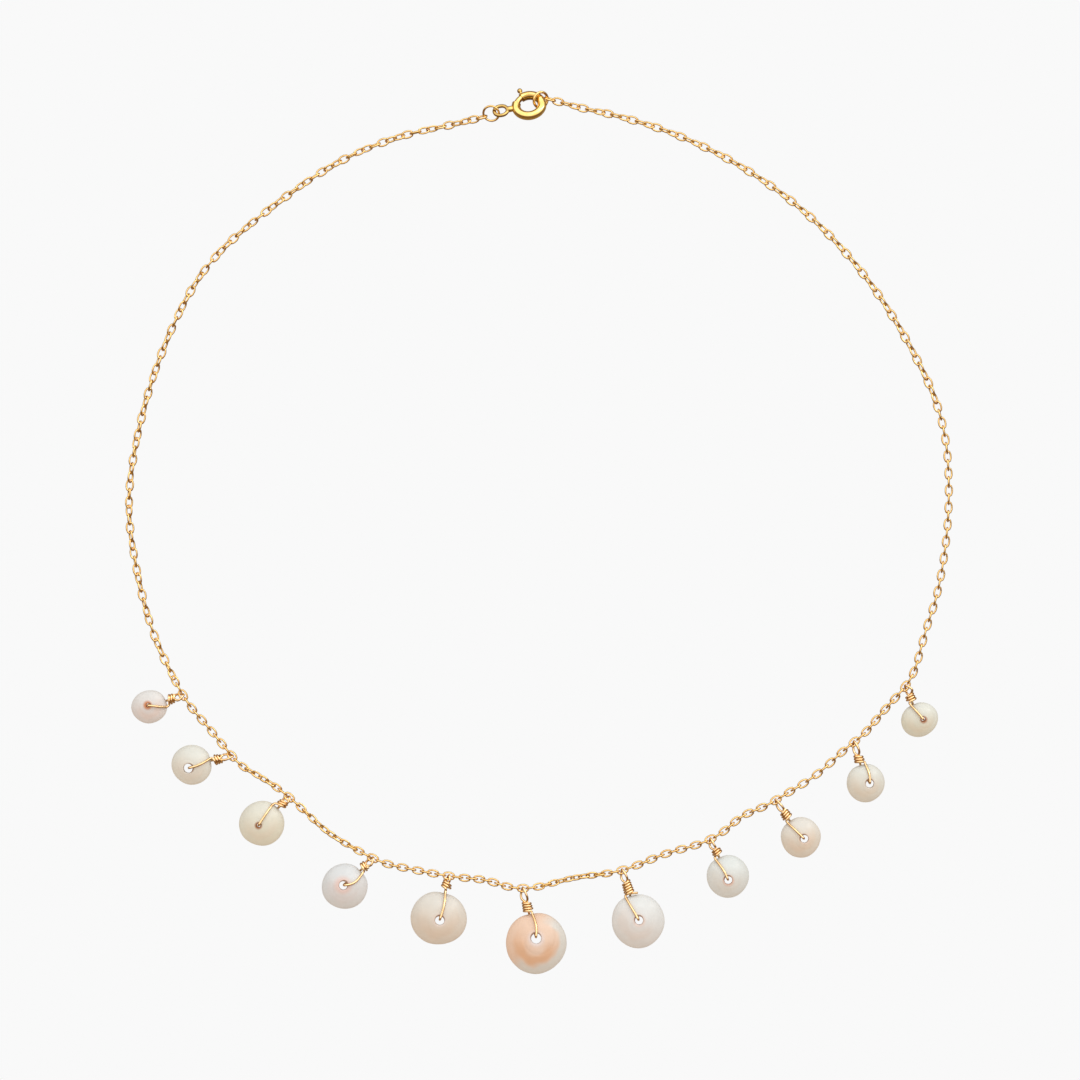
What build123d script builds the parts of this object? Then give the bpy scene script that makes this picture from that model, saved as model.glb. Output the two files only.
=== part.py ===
# Shell charm necklace, laid out flat as a whole loop.
# Eleven small sea shells hang from a fine cable chain, each on its own wrapped wire.
# Millimetres and degrees. The necklace lies on Z = 0, +Z up, with the clasp towards +Y.
# The origin is the middle of the footprint, on the surface that the necklace lies on.
from build123d import *
from collections import namedtuple
from math import asin, atan2, cos, degrees, hypot, pi, radians, sin, sqrt, tan
import os

# Chain of oval wire links, about 406 mm round with its clasp
link_length = 2.00
link_width = 1.40
link_wire = 0.25
link_roll = 10.0
link_slack = 0.07
strand_width = 0.80
strand_gap = 1.85

# Wrapped wire that carries each shell
wrap_wire = 0.40
wire_clearance = 0.07
turn_gap = 0.03
coil_flare = 0.155
coil_corners = 6
crown_bends = 3
rim_gap = 0.45
neck_lead = 0.11
bend_room = 0.10
bend_share = 0.45
loop_nose = 0.30
loop_nose_share = 0.24
loop_return_share = 0.46
loop_mouth_share = 0.65
floor_gap = 0.01

# Shells, worn round and smooth
rim_thickness = 0.62
rim_width = 0.95
rim_round = 0.28
crown_wall = 0.95
hole_round = 0.15

# Spring ring clasp, lying just high enough for its thumb knob to pass as it opens
clasp_width = 5.70
clasp_tube = 1.45
clasp_bore = 1.05
clasp_tilt = 36.0
clasp_turn = 10.4
clasp_centre = (-1.62, 69.26)
mouth_start = 118.0
mouth_end = 157.0
socket_depth = 12.0
bore_end = -36.0

# Bolt that closes the mouth of the clasp
bolt_clearance = 0.05
bolt_overlap = 8.0
bolt_tail = 14.0
knob_lead = 11.0
knob_width = 0.85
knob_reach = 3.55
stalk_width = 0.40

# Soldered ear of the clasp, and the two rings beside it
ear_wire = 0.60
ear_length = 2.75
ear_width = 2.55
ear_neck = 0.43
ear_neck_width = 1.00
jump_ring_width = 2.92
jump_ring_wire = 0.36
jump_ring_turn = 14.0
jump_ring_slope = 18.0
jump_ring_lean = 20.0
jump_ring_slack = 0.20
end_ring_width = 3.00
end_ring_wire = 0.44
end_ring_place = 20.0
end_ring_slope = 20.0
end_ring_lean = 30.0
end_ring_slack = 0.30

# Shells from left to right: their own sizes, where each is pierced (outwards and sideways from its
# middle), how far and which way it lies from the chain, and the turns and loop of its wire
Drop = namedtuple("Drop", "width height hole hole_out hole_side reach heading turns loop_width loop_turn")
drops = [
    Drop(5.9, 2.1, 1.0, -0.15, -0.33, 5.75, 199.3, 2.5, 1.45, 40.0),
    Drop(6.7, 2.3, 1.4, 0.43, 0.41, 6.70, 192.1, 3.0, 1.45, 40.0),
    Drop(7.5, 2.5, 1.0, 0.30, -0.13, 6.15, 223.6, 2.0, 1.35, 48.0),
    Drop(7.6, 2.6, 1.3, -0.24, -0.34, 6.47, 225.2, 2.0, 1.40, 45.0),
    Drop(9.2, 2.9, 1.4, 0.05, 0.26, 7.06, 256.1, 2.0, 1.35, 48.0),
    Drop(10.1, 3.1, 1.6, -1.04, 0.22, 9.16, 283.3, 4.0, 1.45, 45.0),
    Drop(8.8, 2.8, 1.3, -0.35, 0.19, 8.67, 287.2, 4.5, 1.60, 38.0),
    Drop(7.1, 2.4, 1.2, 0.32, -0.20, 6.65, 294.6, 2.0, 1.30, 58.0),
    Drop(6.7, 2.3, 1.2, 0.29, 0.34, 7.25, 303.7, 3.0, 1.30, 58.0),
    Drop(6.4, 2.2, 1.2, 0.05, 0.58, 6.91, 285.5, 3.0, 1.40, 50.0),
    Drop(6.2, 2.1, 1.0, -0.05, 0.55, 5.90, 292.6, 2.0, 1.35, 52.0),
]

# Sizes that follow from the ones above
strand_offset = (wrap_wire + turn_gap) / 2
coil_radius = strand_offset + wrap_wire + turn_gap
neck_height = coil_radius + coil_flare + wrap_wire / 2 + floor_gap
ring_radius = (clasp_width - clasp_tube) / 2
bolt_width = clasp_bore - 2 * bolt_clearance
knob_angle = mouth_start - knob_lead
bolt_travel = mouth_end - mouth_start + bolt_overlap
lying_height = link_width / 2
clasp_height = knob_reach * sin(radians(clasp_tilt)) + knob_width / 2

# Route of the chain between its two ends, from the right of the clasp round to its left.
# A run between two high points carries a shell at its middle.
low = lying_height
high = neck_height
route = [
    (6.5, 69.0, low),
    (12.7, 67.8, low),
    (22.2, 64.9, low),
    (33.0, 59.7, low),
    (43.8, 52.0, low),
    (52.8, 42.4, low),
    (60.1, 31.2, low),
    (66.1, 18.5, low),
    (67.0, 4.4, low),
    (65.3, -9.0, low),
    (62.9, -16.0, low),
    (61.0, -23.5, high),
    (58.3, -26.7, high),
    (55.5, -29.8, low),
    (52.9, -33.0, high),
    (49.7, -35.4, high),
    (45.3, -39.6, low),
    (40.3, -42.6, high),
    (36.8, -44.7, high),
    (32.9, -46.2, low),
    (29.8, -49.1, high),
    (26.1, -50.9, high),
    (20.6, -52.3, low),
    (15.5, -54.5, high),
    (11.6, -55.6, high),
    (5.6, -56.2, low),
    (-0.6, -58.0, high),
    (-4.6, -58.0, high),
    (-8.6, -56.6, low),
    (-12.6, -56.3, high),
    (-16.7, -55.7, high),
    (-20.9, -54.9, low),
    (-25.2, -54.0, high),
    (-28.9, -52.2, high),
    (-34.5, -49.0, low),
    (-39.1, -44.5, high),
    (-42.2, -41.9, high),
    (-45.3, -39.9, low),
    (-48.7, -38.0, high),
    (-51.2, -35.0, high),
    (-54.0, -31.6, low),
    (-56.9, -28.3, high),
    (-59.0, -24.8, high),
    (-62.6, -17.4, low),
    (-65.1, -8.8, low),
    (-67.3, 4.4, low),
    (-65.0, 18.4, low),
    (-60.8, 31.4, low),
    (-54.4, 43.7, low),
    (-44.1, 52.6, low),
    (-32.9, 60.4, low),
    (-22.8, 64.5, low),
    (-14.3, 66.2, low),
]
carrying_runs = [index for index in range(len(route) - 1) if route[index][2] == route[index + 1][2] == high]


def bend_radii(points):
    """Radius at each inner point: as large as its two runs allow."""
    radii = []
    for before, here, after in zip(points, points[1:], points[2:]):
        turn = radians(180 - (before - here).get_angle(after - here))
        shorter = min((before - here).length, (after - here).length)
        radii.append(bend_share * shorter / tan(turn / 2))
    return radii


def rounded_line(points):
    """Straight runs joined by tangent arcs, along a list of points."""
    edges = []
    start = points[0]
    for before, here, after, radius in zip(points, points[1:], points[2:], bend_radii(points)):
        back = (before - here).normalized()
        ahead = (after - here).normalized()
        half_turn = radians(180 - back.get_angle(ahead)) / 2
        first = here + back * radius * tan(half_turn)
        middle = here + (back + ahead).normalized() * (radius / cos(half_turn) - radius)
        last = here + ahead * radius * tan(half_turn)
        edges.append(Edge.make_line(start, first))
        edges.append(Edge.make_three_point_arc(first, middle, last))
        start = last
    edges.append(Edge.make_line(start, points[-1]))
    return Wire(edges)


def round_bar(path, width):
    """Round bar or wire along a path."""
    section = Plane(origin=path @ 0, z_dir=path % 0) * Circle(width / 2)
    return sweep(section, path=path)


def bent_bar(radius, width, start, end):
    """Round bar bent about Z, from one angle to another."""
    section = Plane.XZ * Pos(radius, 0) * Circle(width / 2)
    return Rot(0, 0, start) * revolve(section, Axis.Z, end - start)


def oval_loop(length, width, wire):
    """Closed oval of round wire, flat in XY and long in X."""
    bend = (width - wire) / 2
    half = (length - width) / 2
    end = Pos(half, 0, 0) * bent_bar(bend, wire, -90, 90)
    bar = Rot(0, 90, 0) * Cylinder(wire / 2, 2 * half)
    return end + Rot(0, 0, 180) * end + Pos(0, bend, 0) * bar + Pos(0, -bend, 0) * bar


def ring(width, wire):
    """Closed ring of round wire, flat in XY."""
    return Torus((width - wire) / 2, wire / 2)


# Clasp and its rings
def clasp_place():
    """Local X runs along the line of the two chain ends, and the knob side is low."""
    lean = Rot(0, 0, clasp_turn) * Rot(-clasp_tilt, 0, 0)
    return Pos(clasp_centre[0], clasp_centre[1], clasp_height) * lean


def clasp_ring():
    """Hollow ring with a mouth, a slot for the knob and a soldered ear."""
    tube = bent_bar(ring_radius, clasp_tube, mouth_end, mouth_start + 360)
    spring_bore = bent_bar(ring_radius, clasp_bore, bore_end, mouth_start + 1)
    socket = bent_bar(ring_radius, clasp_bore, mouth_end - 1, mouth_end + socket_depth)
    slot_width = stalk_width + 2 * bolt_clearance
    slot_ease = degrees(asin(slot_width / 2 / ring_radius))
    slot_section = Plane.XZ * Pos(ring_radius + clasp_tube / 2, 0) * Rectangle(clasp_tube, slot_width)
    slot = revolve(slot_section, Axis.Z, bolt_travel + 2 * slot_ease)
    slot = Rot(0, 0, knob_angle - bolt_travel - slot_ease) * slot
    ear_middle = clasp_width / 2 + ear_neck + ear_length / 2
    ear = Pos(-ear_middle, 0, 0) * oval_loop(ear_length, ear_width, ear_wire)
    neck_start = ring_radius + (clasp_bore + clasp_tube) / 4
    neck_end = clasp_width / 2 + ear_neck + ear_wire / 2
    neck = Cylinder(ear_neck_width / 2, neck_end - neck_start)
    neck = Pos(-(neck_start + neck_end) / 2, 0, 0) * Rot(0, 90, 0) * neck
    return clasp_place() * (tube - spring_bore - socket - slot + ear + neck)


def clasp_bolt():
    """Curved bolt across the mouth, with a stalk and a round thumb knob."""
    bar = bent_bar(ring_radius, bolt_width, knob_angle - bolt_tail, mouth_end + bolt_overlap)
    stalk = Cylinder(stalk_width / 2, knob_reach - ring_radius)
    stalk = Pos((ring_radius + knob_reach) / 2, 0, 0) * Rot(0, 90, 0) * stalk
    knob = Pos(knob_reach, 0, 0) * Sphere(knob_width / 2)
    return clasp_place() * (bar + Rot(0, 0, knob_angle) * (stalk + knob))


def jump_ring_place():
    """Ring through the left end of the ear, sloping down to the chain."""
    ear_tip = clasp_width / 2 + ear_neck + ear_length - ear_wire / 2
    tip = clasp_place() * Pos(-ear_tip, 0, 0)
    offset = (jump_ring_width - jump_ring_wire) / 2 - (ear_wire + jump_ring_wire) / 2 - jump_ring_slack
    slope = Rot(0, 0, clasp_turn + 180 + jump_ring_turn) * Rot(0, jump_ring_slope, 0)
    slope *= Rot(-jump_ring_lean, 0, 0)
    return Pos(*tip.position) * slope * Pos(offset, 0, 0)


def end_ring_location():
    """Ring round the tube of the clasp, sloping down to the right end of the chain."""
    tube_middle = clasp_place() * Rot(0, 0, end_ring_place) * Pos(ring_radius, 0, 0)
    offset = (end_ring_width - end_ring_wire) / 2 - (clasp_tube + end_ring_wire) / 2 - end_ring_slack
    return tube_middle * Rot(0, end_ring_slope, 0) * Rot(90 - end_ring_lean, 0, 0) * Pos(offset, 0, 0)


# Chain
def end_link_place(ring_place, width, wire, neighbour):
    """Place of the end link that holds a ring at the ring's far side from the clasp."""
    ring_side = (ring_place * Pos((width - wire) / 2, 0, 0)).position
    ring_way = (ring_place * Pos((width - wire) / 2, 1, 0)).position - ring_side
    along = (neighbour - ring_side).normalized()
    reach = (link_length - link_wire) / 2 - (wire + link_wire) / 2 - link_slack
    normal = (ring_way - along * ring_way.dot(along)).normalized()
    return Plane(origin=ring_side + along * reach, x_dir=along, z_dir=normal)


def chain_ends():
    """Planes of the two end links."""
    inner = [Vector(*point) for point in (route[0], route[-1])]
    right = end_link_place(end_ring_location(), end_ring_width, end_ring_wire, inner[0])
    left = end_link_place(jump_ring_place(), jump_ring_width, jump_ring_wire, inner[1])
    return right, left


def carrier(number):
    """Plane of the link that carries a shell, counted from the left, with X along the route."""
    index = carrying_runs[-1 - number]
    start, end = (Vector(*point) for point in route[index:index + 2])
    along = (end - start).normalized()
    flat = Plane(origin=(start + end) / 2, x_dir=along, z_dir=(0, 0, 1))
    return flat.rotated((link_roll, 0, 0))


def chain():
    """Fine chain as one smooth strand, with its real links where rings and shells hang."""
    right, left = chain_ends()
    points = [right.origin] + [Vector(*point) for point in route] + [left.origin]
    print("chain bends, mm:", [round(radius, 1) for radius in bend_radii(points)])
    half_gap = strand_gap / 2
    points[0] = right.origin + right.x_dir * half_gap
    points[-1] = left.origin + left.x_dir * half_gap
    line = rounded_line(points)
    strand = round_bar(line, strand_width)
    print("chain strand, mm and mm3:", round(line.length, 1), round(strand.volume, 2),
          "section times length:", round(pi * strand_width ** 2 / 4 * line.length, 2))
    gap = Box(strand_gap, 2 * link_width, 2 * link_width)
    carriers = [carrier(number) for number in range(len(drops))]
    for plane in carriers:
        strand -= plane * gap
    for plane in carriers + [right, left]:
        strand += plane * oval_loop(link_length, link_width, link_wire)
    return strand


# Shells and their wires, each in its drop's own frame: X outwards from the chain, Z up
def drop_place(number):
    """On the surface under the carrying link, with X towards the shell."""
    origin = carrier(number).origin
    return Pos(origin.X, origin.Y, 0) * Rot(0, 0, drops[number].heading)


def shell_place(drop):
    """The outer rim rests on the surface and the inner rim is at the height of the wire's neck."""
    span = drop.width - rim_round - rim_thickness / 2
    rise = rim_thickness / 2 - rim_round
    tilt = asin((neck_height - rim_round) / hypot(span, rise)) - atan2(rise, span)
    height = rim_round * (1 - cos(tilt)) + (drop.width / 2 - rim_round) * sin(tilt)
    return Pos(drop.reach, 0, height) * Rot(0, degrees(tilt), 0)


def ball_radius(reach, rise):
    """Radius of the ball whose cap has this reach and rise."""
    return (reach ** 2 + rise ** 2) / (2 * rise)


def ball_height(ball, top, away):
    """Height of a ball's surface at a distance from its top."""
    return top - ball + sqrt(ball ** 2 - away ** 2)


def crown_ball(drop):
    """Radius of the ball that the outside of a shell follows."""
    return ball_radius(drop.width / 2, drop.height - rim_thickness)


def hollow_ball(drop):
    """Radius of the ball that the hollow underside of a shell follows."""
    return ball_radius(drop.width / 2 - rim_width, drop.height - crown_wall)


def shell(number):
    """Low dome, hollow below, with a round rim and a worn hole."""
    drop = drops[number]
    edge = drop.width / 2
    inner_edge = edge - rim_width
    inner_top = drop.height - crown_wall
    crown = [(away, ball_height(crown_ball(drop), drop.height, away)) for away in (0, edge / 2, edge)]
    under = [(away, ball_height(hollow_ball(drop), inner_top, away)) for away in (inner_edge, inner_edge / 2, 0)]
    outline = ThreePointArc(*crown) + Line(crown[2], (edge, 0)) + Line((edge, 0), under[0])
    outline += ThreePointArc(*under) + Line(under[2], crown[0])
    section = make_face(outline)
    section = fillet(section.vertices().sort_by(Axis.X)[-2:], rim_round)
    dome = revolve(Plane.XZ * section, Axis.Z)
    drill = Pos(drop.hole_out, drop.hole_side, 0) * Cylinder(drop.hole / 2, 2 * drop.height + drop.width)
    pierced = dome - drill
    pierced = fillet(new_edges(dome, drill, combined=pierced), hole_round)
    return drop_place(number) * shell_place(drop) * pierced


def coil_start(drop):
    """Distance from the chain to the first turn of a wire's coil."""
    rim = (shell_place(drop) * Pos(rim_thickness / 2 - drop.width / 2, 0, rim_thickness / 2)).position.X
    return rim - rim_thickness / 2 - rim_gap - drop.turns * (wrap_wire + turn_gap)


def shell_leg(drop):
    """Points of the wire from below the rim, up through the hole and back over the crown."""
    off = wrap_wire / 2 + wire_clearance
    edge = drop.width / 2
    ball = crown_ball(drop)
    ball_middle = Vector(0, 0, drop.height - ball)
    rim_middle = rim_thickness / 2 - edge
    hole = Vector(drop.hole_out, drop.hole_side, 0)
    inwards = (Vector(rim_middle, 0, 0) - hole).normalized()
    strand = hole + inwards * (drop.hole / 2 - off)
    away = hypot(strand.X, strand.Y)
    underside = ball_height(hollow_ball(drop), drop.height - crown_wall, away)
    top = ball_height(ball, drop.height, away)
    over_hole = Vector(strand.X, strand.Y, top + off + 2 * bend_room)
    points = [
        Vector(rim_middle, 0, -off - bend_room / 2),
        Vector(rim_width + off - edge, 0, -off - bend_room),
        Vector(strand.X, strand.Y, underside - wrap_wire - 2 * bend_room),
        over_hole,
    ]
    start_ray = (over_hole - ball_middle).normalized()
    end_angle = asin(edge / (ball + off))
    end_ray = Vector(-sin(end_angle), 0, cos(end_angle))
    sweep_angle = radians(start_ray.get_angle(end_ray))
    reach = (ball + off) / cos(sweep_angle / crown_bends / 2)
    for step in range(1, crown_bends + 1):
        share = step / crown_bends
        ray = start_ray * sin((1 - share) * sweep_angle) + end_ray * sin(share * sweep_angle)
        points.append(ball_middle + ray.normalized() * reach)
    place = shell_place(drop)
    return [(place * Pos(*point)).position for point in points]


def wire_points(number):
    """Route of one wire: under its shell, through the hole, along the neck, round the loop, coiled."""
    drop = drops[number]
    base = coil_start(drop)
    pitch = wrap_wire + turn_gap
    mouth = base + drop.turns * pitch + neck_lead
    spread = strand_offset + coil_flare + turn_gap
    points = [Vector(base, 0, neck_height - strand_offset), Vector(mouth, 0, neck_height - spread)]
    points += shell_leg(drop)
    points += [Vector(mouth, 0, neck_height + spread), Vector(base, 0, neck_height + strand_offset)]
    side = radians(drop.loop_turn)
    loop_mouth = loop_mouth_share * base
    half = drop.loop_width / 2
    nose = loop_nose_share * drop.loop_width
    back = loop_return_share * drop.loop_width
    loop = [(loop_mouth, back), (loop_nose, half), (0, nose), (0, -nose), (loop_nose, -half), (loop_mouth, -half)]
    for along, across in loop:
        points.append(Vector(along, across * cos(side), neck_height + across * sin(side)))
    count = round(coil_corners * drop.turns)
    for step in range(count + 1):
        angle = side + pi + 2 * pi * step / coil_corners
        radius = (coil_radius + coil_flare * step / count) / cos(pi / coil_corners)
        along = base + pitch * step / coil_corners
        points.append(Vector(along, radius * cos(angle), neck_height + radius * sin(angle)))
    return points


def wire(number):
    """One bent wire."""
    return drop_place(number) * round_bar(rounded_line(wire_points(number)), wrap_wire)


pieces = {
    "chain": chain(),
    "clasp_ring": clasp_ring(),
    "clasp_bolt": clasp_bolt(),
    "jump_ring": jump_ring_place() * ring(jump_ring_width, jump_ring_wire),
    "end_ring": end_ring_location() * ring(end_ring_width, end_ring_wire),
}
for number in range(len(drops)):
    pieces[f"shell_{number + 1:02d}"] = shell(number)
    pieces[f"wire_{number + 1:02d}"] = wire(number)

os.makedirs("parts", exist_ok=True)
for name, piece in pieces.items():
    export_step(piece, f"parts/{name}.step")
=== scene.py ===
import bpy
from collections import namedtuple
from math import acos, asin, atan2, cos, exp, hypot, pi, radians, sin, sqrt, tau
from random import Random
from mathutils import Matrix, Vector, noise


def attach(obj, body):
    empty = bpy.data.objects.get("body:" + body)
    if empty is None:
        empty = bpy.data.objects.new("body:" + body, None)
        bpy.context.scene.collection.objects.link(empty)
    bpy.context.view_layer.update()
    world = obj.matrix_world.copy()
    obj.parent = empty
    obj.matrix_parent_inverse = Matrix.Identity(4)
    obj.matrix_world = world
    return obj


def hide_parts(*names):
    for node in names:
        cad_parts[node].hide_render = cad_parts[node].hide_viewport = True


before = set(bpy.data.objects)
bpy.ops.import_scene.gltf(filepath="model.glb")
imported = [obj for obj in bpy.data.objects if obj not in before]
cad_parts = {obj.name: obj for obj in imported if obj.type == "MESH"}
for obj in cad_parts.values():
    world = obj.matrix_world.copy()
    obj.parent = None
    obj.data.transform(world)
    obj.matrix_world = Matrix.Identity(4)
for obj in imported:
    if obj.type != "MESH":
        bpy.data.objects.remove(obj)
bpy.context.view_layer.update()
bpy.ops.object.select_all(action="DESELECT")
MM = 0.001

# Chain, in millimetres and degrees
LINK_LENGTH = 2.10
LINK_WIDTH = 1.46
LINK_WIRE = 0.32
LINK_ROUNDNESS = 1.3
LINK_CORNERS = 12
LINK_SIDES = 5
LINK_PITCH = 1.40
LINK_SLACK = 0.07
LINK_JITTER = 1.0
LINK_SEED = 5
CARRIER_ROLL = 2.0
WAY_REACH = 0.7
LYING_HEIGHT = 0.75
NECK_HEIGHT = 1.01

# Gaps between links beside a shell, counted from the link that carries it
CROWDED = (1.40, 1.20, 1.20)

# Twists from each link to the next, for each stretch of the chain from the right of the clasp to its left
LEANING = (70.0, 110.0)
RIGHT_SIDE = (60.0,) * 60 + (90.0,) + LEANING * 21
LEFT_SIDE = (62.0, 68.0, 62.0, 78.0)
LINK_TWISTS = [RIGHT_SIDE] + [LEANING] * 10 + [LEFT_SIDE]

# Shells, in millimetres
RIM_THICKNESS = 0.62
RIM_WIDTH = 0.95
RIM_ROUND = 0.28
RIM_EASE = 0.06
RIM_DROP = 0.02
RIM_FOOT = 0.08
RIM_INSET = 0.12
CROWN_WALL = 0.95
CROWN_STEPS = 9
HOLLOW_FLOOR = 0.05
HOLLOW_STEPS = 5
HOLE_ROUND = 0.15
THINNEST_WALL = 0.05
TURNING_STEPS = 40

# Wear of the shells: shallow dents, and lobes of the outline as a count, a share of the radius and a turn
DENT_DEPTH = 0.05
DENT_LEVEL = 0.6
DENT_SCALE = 0.45
DENT_SHIFT = 9
LOBES = ((2, 0.010, 1.0), (3, 0.008, 2.1), (5, 0.004, 1.0))
NECK_DENT = 0.030
NECK_DENT_WIDTH = 0.30

# Spiral groove, in turns and in shares of the way from the hole to the rim
GROOVE_TURNS = 1.6
GROOVE_WIDTH = 0.09
GROOVE_END = 0.86
GROOVE_FADE = 4

# Painted shade on the lip of the hole, on the side of the wire
LIP_BACK = 0.26
LIP_SHADE_COLOUR = (150, 104, 70)

# Clasp and its rings, in millimetres and degrees
RING_RADIUS = 2.125
CLASP_TUBE = 1.45
CLASP_CENTRE = (-1.62, 69.26, 2.5116)
CLASP_TILT = 36.0
CLASP_TURN = 10.4
EAR_TIP = 5.73
EAR_WIRE = 0.60
JUMP_RING_TURN = 14.0
END_RING_PLACE = 20.0
Ring = namedtuple("Ring", "width wire slope lean slack")
JUMP_RING = Ring(2.92, 0.36, 18.0, 20.0, 0.20)
END_RING = Ring(3.00, 0.44, 20.0, 30.0, 0.30)

# Painted shade on the clasp's gold: distances from the ring's middle between which the ear and the inner side
# turn darker, and how far up on the knob's side the inner one does. On the ear it is painted shade under the
# jump ring, on the inner side a painted dark reflection.
EAR_SHADE_SPAN = (2.95, 3.5)
INSIDE_SHADE_SPAN = (2.05, 1.65)
KNOB_SIDE = (0.0, 1.1)
PAINTED_SHADE_GOLD = (0.34, 0.18, 0.04, 1.0)

# Shells from the left: the dome, the hole and its place, the reach from the chain and the way it hangs
Drop = namedtuple("Drop", "width height hole out side reach heading")
DROPS = [
    Drop(5.9, 2.1, 0.5, -0.15, -0.33, 5.75, 199.3),
    Drop(6.7, 2.3, 1.4, 0.43, 0.41, 6.70, 192.1),
    Drop(7.5, 2.5, 0.5, 0.30, -0.13, 6.15, 223.6),
    Drop(7.6, 2.6, 1.3, -0.24, -0.34, 6.47, 225.2),
    Drop(9.2, 2.9, 1.4, 0.05, 0.26, 7.06, 256.1),
    Drop(10.1, 3.1, 1.6, -1.04, 0.22, 9.16, 283.3),
    Drop(8.8, 2.8, 1.3, -0.35, 0.19, 8.67, 287.2),
    Drop(7.1, 2.4, 1.2, 0.32, -0.20, 6.65, 294.6),
    Drop(6.7, 2.3, 1.2, 0.29, 0.34, 7.25, 303.7),
    Drop(6.4, 2.2, 1.2, 0.05, 0.58, 6.91, 285.5),
    Drop(6.2, 2.1, 0.5, -0.05, 0.55, 5.90, 292.6),
]

# Shells' colours as seen on a screen, from 0 to 255. Ways are in degrees. The last two numbers stretch the
# shell along its wire and across it.
Look = namedtuple(
    "Look",
    "slot body pale band core pale_way pale_share band_way strength core_width outer_way outer groove "
    "outwards sideways",
)
# The lit side's way paints the upper side of most shells paler: painted light.
SHELL_LOOKS = [
    # Browner core: painted shade in and round the hole, where the wire fills it.
    Look("shell_rose", (235, 226, 221), (234, 230, 226), (242, 218, 206), (214, 140, 92),
         100, 1.0, 290, 0.5, 0.95, 300, 0.3, 0.03, 1.02, 0.94),
    Look("shell_beige", (236, 229, 214), (234, 232, 222), (236, 222, 206), (236, 226, 212),
         80, 1.0, 250, 0.4, 1.3, 300, 0.3, 0.03, 1.0, 1.0),
    # Browner core: painted shade in and round the hole, where the wire fills it.
    Look("shell_cream", (237, 231, 210), (235, 231, 216), (240, 224, 202), (170, 108, 58),
         100, 1.0, 270, 0.4, 0.80, 180, 0.3, 0.02, 1.0, 1.0),
    Look("shell_white", (232, 230, 228), (230, 231, 231), (234, 222, 218), (240, 212, 202),
         110, 1.0, 250, 0.4, 1.9, 200, 0.3, 0.03, 1.0, 1.0),
    Look("shell_beige", (234, 219, 201), (232, 226, 216), (236, 212, 190), (238, 220, 206),
         90, 1.0, 270, 0.4, 1.5, 300, 0.3, 0.03, 0.95, 1.02),
    Look("shell_white", (245, 210, 184), (230, 225, 216), (236, 182, 138), (240, 222, 214),
         320, 0.25, 258, 0.75, 1.7, 322, 1.0, 0.05, 1.0, 1.0),
    Look("shell_white", (236, 231, 226), (235, 235, 232), (238, 222, 210), (240, 214, 200),
         60, 1.0, 230, 0.4, 1.3, 250, 0.3, 0.02, 1.02, 1.0),
    Look("shell_white", (232, 231, 225), (231, 234, 230), (234, 224, 210), (238, 192, 168),
         70, 1.0, 250, 0.3, 1.2, 300, 0.3, 0.02, 1.0, 1.0),
    Look("shell_beige", (235, 222, 204), (234, 228, 218), (238, 214, 192), (238, 212, 192),
         100, 1.0, 290, 0.5, 1.2, 320, 0.3, 0.03, 1.0, 1.0),
    Look("shell_cream", (234, 227, 212), (232, 231, 222), (238, 220, 198), (236, 222, 206),
         80, 1.0, 260, 0.4, 1.2, 320, 0.3, 0.03, 1.0, 1.0),
    # Browner core: painted shade in and round the hole, where the wire fills it.
    Look("shell_cream", (233, 229, 209), (232, 231, 220), (236, 220, 196), (184, 122, 84),
         80, 1.0, 270, 0.4, 0.80, 300, 0.3, 0.03, 0.91, 1.02),
]

# Where a shell's colours begin and end. The two with ways in their names are cosines of the angle to the way.
# The core's span is in shares of its width, the lip's in millimetres and the others in shares of the radius.
# Painted light: the span over which a shell turns paler towards its lit side, mostly its upper side where the
# light falls.
LIT_SIDE_SPAN = (-0.55, 0.85)
OUTER_WAYS = (-0.5, 0.3)
OUTER_SPAN = (0.64, 0.86)
# The band's way also sets where its painted warm shade falls, on the lower side of each shell.
BAND_WAYS = (-0.9, 0.6)
BAND_INSIDE = (0.24, 0.46)
BAND_OUTSIDE = (0.80, 0.58)
CORE_SPAN = (1.0, 0.45)
LIP_SPAN = (0.18, 0.0)
LIP_SHADE_STRENGTH = 0.85
EDGE_WOBBLE = 0.40
RING_COUNT = 18.0
RING_HEIGHT = 0.06
SPECKLE = (1.02, 0.98)

# Golds: the colour, its tarnish, and the roughness where it is polished and where it is worn
Gold = namedtuple("Gold", "colour tarnish low high")
CHAIN_GOLD = Gold((0.98, 0.68, 0.28), (0.88, 0.52, 0.17), 0.12, 0.22)
WIRE_GOLD = Gold((0.97, 0.71, 0.40), (0.82, 0.49, 0.22), 0.10, 0.20)
CLASP_GOLD = Gold((1.0, 0.77, 0.31), (0.90, 0.56, 0.12), 0.08, 0.16)
WORN_SPAN = (0.42, 0.68)
TARNISH_SHARE = 0.45

# Paper below the necklace and the room round it: as the camera sees them, as they light it and as gold
# mirrors them
PAPER_SEEN = (249, 249, 249)
PAPER_COLOUR = (0.85, 0.84, 0.82, 1.0)
PAPER_MIRRORED = (0.30, 0.21, 0.13, 1.0)
ROOM_SPAN = (-0.45, 0.70)
ROOM_DARK = (0.69, 0.53, 0.40, 1.0)
ROOM_BRIGHT = (0.89, 0.90, 0.90, 1.0)
MIRRORED_SPAN = (0.10, 0.78)
MIRRORED_DARK = (0.20, 0.12, 0.06, 1.0)
MIRRORED_BRIGHT = (1.45, 1.38, 1.28, 1.0)
OVERHEAD_SHARE = 0.75

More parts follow.
